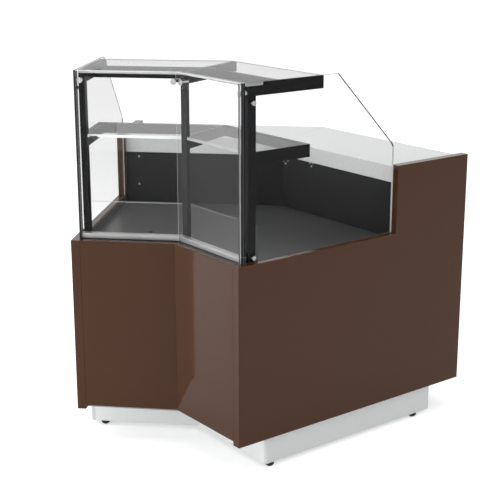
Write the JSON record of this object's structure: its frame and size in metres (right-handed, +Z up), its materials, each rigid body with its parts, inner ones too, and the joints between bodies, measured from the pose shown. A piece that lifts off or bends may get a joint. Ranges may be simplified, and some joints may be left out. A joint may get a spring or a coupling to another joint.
{
  "type": "refrigerated pastry display case",
  "caption": "Inside-corner refrigerated pastry case: concave brown front, glass display with two shelves over a cooled well, pale worktop and a cooling unit behind hinged rear doors.",
  "frame": {"origin": "centre of the footprint's bounding box, on the floor under the feet", "axes": "+X to the right end as seen from the customer's side, +Y toward the server's side, +Z up"},
  "size_m": [1.4066, 1.2152, 1.261],
  "materials": {
    "brown_lacquer": "gloss lacquer",
    "pale_steel": "pale painted sheet",
    "black_paint": "black satin paint",
    "dark_paint": "dark grey satin paint",
    "clear_glass": "clear, polished edges",
    "profile_aluminium": "satin anodised",
    "pale_stone": "honed, fine speckle",
    "foam": "rigid foam",
    "zinc_steel": "zinc plated",
    "copper": "bare copper tube",
    "black_rubber": "matt",
    "black_plastic": "fine texture",
    "red_plastic": "gloss",
    "green_plastic": "gloss",
    "satin_steel": "satin"
  },
  "bodies": {
    "case": {"back_wall": "black_paint", "base_pan": "zinc_steel", "centre_clamp": "satin_steel", "compressor": "black_paint", "condenser": "zinc_steel", "condenser_fan_motor": "black_paint", "control_panel": "black_plastic", "display_deck_left": "dark_paint", "display_deck_right": "dark_paint", "drain_tray": "black_plastic", "end_clamp_bottom_left": "satin_steel", "end_clamp_bottom_right": "satin_steel", "end_clamp_top_left": "satin_steel", "end_clamp_top_right": "satin_steel", "end_glass_left": "clear_glass", "end_glass_right": "clear_glass", "end_panel_left": "brown_lacquer", "end_panel_right": "brown_lacquer", "evaporator": "profile_aluminium", "evaporator_fan_motor": "black_paint", "front_clamp_left": "satin_steel", "front_clamp_right": "satin_steel", "front_glass_left": "clear_glass", "front_glass_right": "clear_glass", "front_panel_left": "brown_lacquer", "front_panel_right": "brown_lacquer", "glass_profile_left": "profile_aluminium", "glass_profile_right": "profile_aluminium", "low_glass_left": "clear_glass", "low_glass_right": "clear_glass", "middle_light_left": "black_paint", "middle_light_right": "black_paint", "middle_shelf_left": "clear_glass", "middle_shelf_right": "clear_glass", "pipework": "copper", "plinth_front": "pale_steel", "plinth_rear": "pale_steel", "rear_frame": "zinc_steel", "shelf_frame_centre": "black_paint", "shelf_frame_left": "black_paint", "shelf_frame_right": "black_paint", "top_light_left": "black_paint", "top_light_right": "black_paint", "top_shelf_left": "clear_glass", "top_shelf_right": "clear_glass", "well_insulation": "foam", "well_liner": "dark_paint", "worktop_left": "pale_stone", "worktop_right": "pale_stone"},
    "rear_door_left": {"rear_door_left": "zinc_steel"},
    "rear_door_right": {"rear_door_right": "zinc_steel"},
    "condenser_fan": {"condenser_fan": "black_plastic"},
    "evaporator_fan": {"evaporator_fan": "black_plastic"},
    "power_switch": {"power_switch": "red_plastic"},
    "light_switch": {"light_switch": "green_plastic"},
    "levelling_foot_front_left": {"levelling_foot_front_left": "black_rubber"},
    "levelling_foot_front_right": {"levelling_foot_front_right": "black_rubber"},
    "levelling_foot_rear_centre": {"levelling_foot_rear_centre": "black_rubber"},
    "levelling_foot_rear_left": {"levelling_foot_rear_left": "black_rubber"},
    "levelling_foot_rear_right": {"levelling_foot_rear_right": "black_rubber"}
  },
  "joints": [
    {"name": "rear_door_left_hinge", "type": "hinge", "parent": "case", "child": "rear_door_left", "pos_m": [-0.63449, 0.33395, 0.5], "axis": [0, 0, 1], "range_deg": [0, 90]},
    {"name": "rear_door_right_hinge", "type": "hinge", "parent": "case", "child": "rear_door_right", "pos_m": [0.63449, 0.33395, 0.5], "axis": [0, 0, -1], "range_deg": [0, 90]},
    {"name": "condenser_fan_spin", "type": "hinge", "parent": "case", "child": "condenser_fan", "pos_m": [-0.36557, 0.32953, 0.268], "axis": [-0.3827, 0.9239, 0], "continuous": true},
    {"name": "evaporator_fan_spin", "type": "hinge", "parent": "case", "child": "evaporator_fan", "pos_m": [0.28195, -0.10689, 0.6028], "axis": [0.3827, 0.9239, 0], "continuous": true},
    {"name": "power_switch_rock", "type": "hinge", "parent": "case", "child": "power_switch", "pos_m": [0.60836, 0.35971, 0.8517], "axis": [0.9239, -0.3827, 0], "range_deg": [0, 16]},
    {"name": "light_switch_rock", "type": "hinge", "parent": "case", "child": "light_switch", "pos_m": [0.57695, 0.37272, 0.8517], "axis": [0.9239, -0.3827, 0], "range_deg": [0, 16]},
    {"name": "levelling_foot_front_left_screw", "type": "hinge", "parent": "case", "child": "levelling_foot_front_left", "pos_m": [-0.31459, -0.46007, 0.006], "axis": [0, 0, 1], "continuous": true},
    {"name": "levelling_foot_front_right_screw", "type": "hinge", "parent": "case", "child": "levelling_foot_front_right", "pos_m": [0.3526, -0.46499, 0.006], "axis": [0, 0, 1], "continuous": true},
    {"name": "levelling_foot_rear_left_screw", "type": "hinge", "parent": "case", "child": "levelling_foot_rear_left", "pos_m": [-0.60325, 0.14016, 0.006], "axis": [0, 0, 1], "continuous": true},
    {"name": "levelling_foot_rear_right_screw", "type": "hinge", "parent": "case", "child": "levelling_foot_rear_right", "pos_m": [0.60325, 0.14016, 0.006], "axis": [0, 0, 1], "continuous": true},
    {"name": "levelling_foot_rear_centre_screw", "type": "hinge", "parent": "case", "child": "levelling_foot_rear_centre", "pos_m": [0, 0.45173, 0.006], "axis": [0, 0, 1], "continuous": true}
  ]
}
